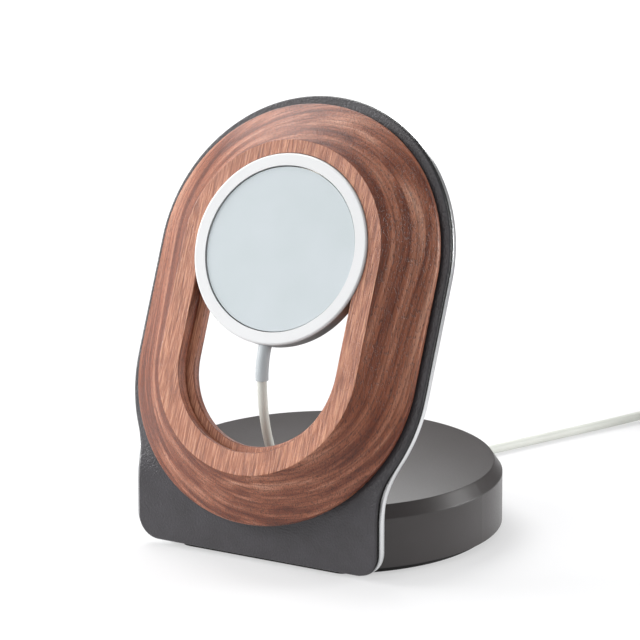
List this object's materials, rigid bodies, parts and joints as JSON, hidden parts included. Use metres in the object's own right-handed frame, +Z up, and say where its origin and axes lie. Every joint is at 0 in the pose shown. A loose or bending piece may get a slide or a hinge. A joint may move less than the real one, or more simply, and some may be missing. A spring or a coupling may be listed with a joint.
{
  "type": "wireless charging stand",
  "caption": "Leaning stand with an oval wooden ring on a leather-faced bent sheet that holds a round charging puck, its cord led through the ring into a heavy round base.",
  "frame": {"origin": "on the table under the middle of the stand's box, the cord left out", "axes": "+X to the right seen from the front, +Y to the back, +Z up"},
  "size_m": [0.1771, 0.2324, 0.1289],
  "materials": {
    "oiled_walnut": "oiled, open straight grain",
    "charcoal_leather": "pigmented, fine pebble",
    "sheet_steel": "bead blasted, bright cut edge",
    "base_coat": "matte dark grey powder coat",
    "pad_rubber": "matte, soft",
    "screw_steel": "plain turned",
    "housing_aluminium": "fine blasted and anodised",
    "white_rim": "satin white",
    "pale_face": "soft touch, very fine",
    "copper": "enamelled wire",
    "ferrite": "matte",
    "plated_magnet": "nickel plate",
    "yoke_steel": "plain rolled",
    "board_green": "solder mask",
    "sleeve_grey": "smooth, matte",
    "cord_white": "smooth, matte",
    "tie_white": "smooth",
    "plug_white": "glossy",
    "plug_steel": "drawn",
    "plug_black": "plain"
  },
  "bodies": {
    "root": {"wood_frame": "oiled_walnut", "leather_facing": "charcoal_leather", "back_plate": "sheet_steel", "base_weight": "base_coat", "base_pad": "pad_rubber", "base_screws": "screw_steel", "frame_screws": "screw_steel", "puck_housing": "housing_aluminium", "puck_ring": "white_rim", "puck_face": "pale_face", "charging_coil": "copper", "coil_shield": "ferrite", "antenna_loop": "copper", "magnet_ring": "plated_magnet", "magnet_yoke": "yoke_steel", "circuit_board": "board_green", "shield_can": "yoke_steel", "strain_relief": "sleeve_grey", "cable_run": "cord_white", "cable_coil": "cord_white", "cable_tie": "tie_white", "plug_relief": "cord_white", "plug_body": "plug_white", "plug_shell": "plug_steel", "plug_tongue": "plug_black"}
  },
  "joints": []
}
